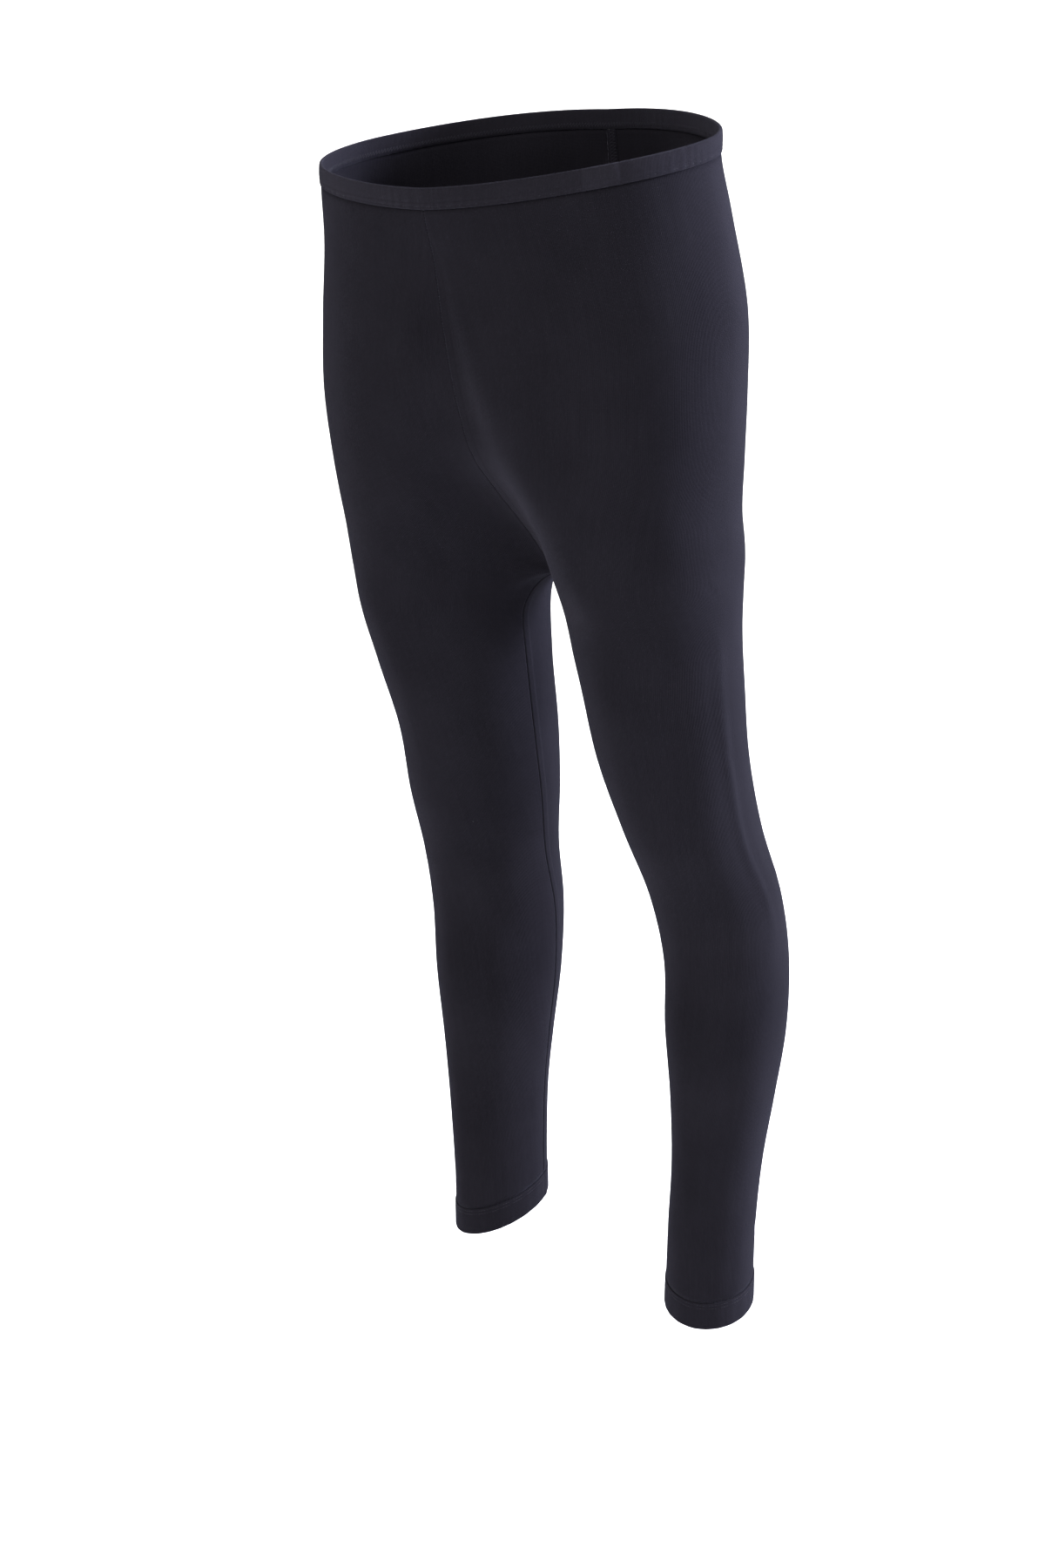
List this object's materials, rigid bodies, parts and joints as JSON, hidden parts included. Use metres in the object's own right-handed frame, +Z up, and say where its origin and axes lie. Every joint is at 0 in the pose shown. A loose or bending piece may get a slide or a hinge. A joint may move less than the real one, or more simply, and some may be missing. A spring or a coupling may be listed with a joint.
{
  "type": "leggings",
  "caption": "Ankle-length pull-on leggings in plain dark stretch jersey, hollow as worn, with a narrow elastic waistband and turned-up hems.",
  "frame": {"origin": "centre of the waist opening, where the wearer holds the garment up", "axes": "+Z up, -Y the garment's front, +X the wearer's left"},
  "size_m": [0.3484, 0.3038, 0.9914],
  "materials": {
    "jersey": "matt navy knitted microfibre",
    "waistband": "navy jersey turned over elastic",
    "hem": "navy jersey turned up and stitched"
  },
  "bodies": {
    "root": {"leg_left": "jersey", "leg_right": "jersey", "waistband": "waistband", "hem_left": "hem", "hem_right": "hem"}
  },
  "joints": []
}
